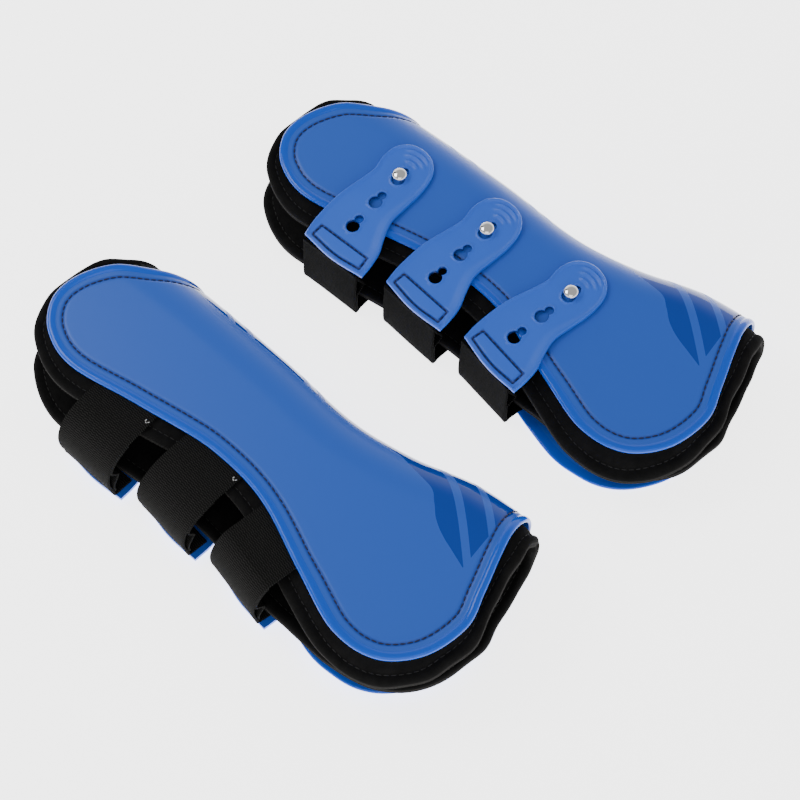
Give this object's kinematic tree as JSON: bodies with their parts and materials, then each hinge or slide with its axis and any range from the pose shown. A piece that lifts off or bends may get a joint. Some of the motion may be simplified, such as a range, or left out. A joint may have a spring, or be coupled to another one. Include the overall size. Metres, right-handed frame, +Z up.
{
  "type": "tendon boots",
  "caption": "Pair of horse leg boots with moulded shells, soft liners and elastic straps whose keyhole tabs hook over studs.",
  "frame": {"origin": "centre of the pair's footprint, on the surface that the boots lie on", "axes": "+X down the leg towards the fetlock ends, -Y towards the open fronts and their straps, +Y towards the tendon side, +Z up"},
  "size_m": [0.2962, 0.2711, 0.0511],
  "materials": {
    "shell": "satin moulded blue with a glossier raised edge",
    "tab": "soft satin moulded blue",
    "liner": "black fabric-faced neoprene",
    "strap": "black woven elastic with a fine rib",
    "stud": "polished",
    "washer": "plain"
  },
  "bodies": {
    "boots": {"left_shell": "shell", "left_liner": "liner", "left_strap_1": "strap", "left_stud_1": "stud", "left_stud_washer_1": "washer", "left_strap_2": "strap", "left_stud_2": "stud", "left_stud_washer_2": "washer", "left_strap_3": "strap", "left_stud_3": "stud", "left_stud_washer_3": "washer", "right_shell": "shell", "right_liner": "liner", "right_strap_1": "strap", "right_stud_1": "stud", "right_stud_washer_1": "washer", "right_strap_2": "strap", "right_stud_2": "stud", "right_stud_washer_2": "washer", "right_strap_3": "strap", "right_stud_3": "stud", "right_stud_washer_3": "washer"},
    "left_tab_1_body": {"left_tab_1": "tab"},
    "left_tab_2_body": {"left_tab_2": "tab"},
    "left_tab_3_body": {"left_tab_3": "tab"},
    "right_tab_1_body": {"right_tab_1": "tab"},
    "right_tab_2_body": {"right_tab_2": "tab"},
    "right_tab_3_body": {"right_tab_3": "tab"}
  },
  "joints": [
    {"name": "left_tab_1_lift", "type": "hinge", "parent": "boots", "child": "left_tab_1_body", "pos_m": [-0.05885, 0.03116, 0.03663], "axis": [0.9986, -0.0517, -0.0097], "range_deg": [0, 120]},
    {"name": "left_tab_2_lift", "type": "hinge", "parent": "boots", "child": "left_tab_2_body", "pos_m": [-0.00983, 0.03258, 0.03671], "axis": [0.9902, -0.1377, -0.0218], "range_deg": [0, 120]},
    {"name": "left_tab_3_lift", "type": "hinge", "parent": "boots", "child": "left_tab_3_body", "pos_m": [0.03884, 0.02957, 0.03616], "axis": [0.9723, -0.231, -0.0348], "range_deg": [0, 120]},
    {"name": "right_tab_1_lift", "type": "hinge", "parent": "boots", "child": "right_tab_1_body", "pos_m": [-0.08352, -0.12235, 0.004], "axis": [-0.9957, 0.0924, 0], "range_deg": [0, 120]},
    {"name": "right_tab_2_lift", "type": "hinge", "parent": "boots", "child": "right_tab_2_body", "pos_m": [-0.03449, -0.12289, 0.004], "axis": [-0.9839, 0.1788, 0], "range_deg": [0, 120]},
    {"name": "right_tab_3_lift", "type": "hinge", "parent": "boots", "child": "right_tab_3_body", "pos_m": [0.01403, -0.12789, 0.004], "axis": [-0.9622, 0.2723, 0], "range_deg": [0, 120]}
  ]
}
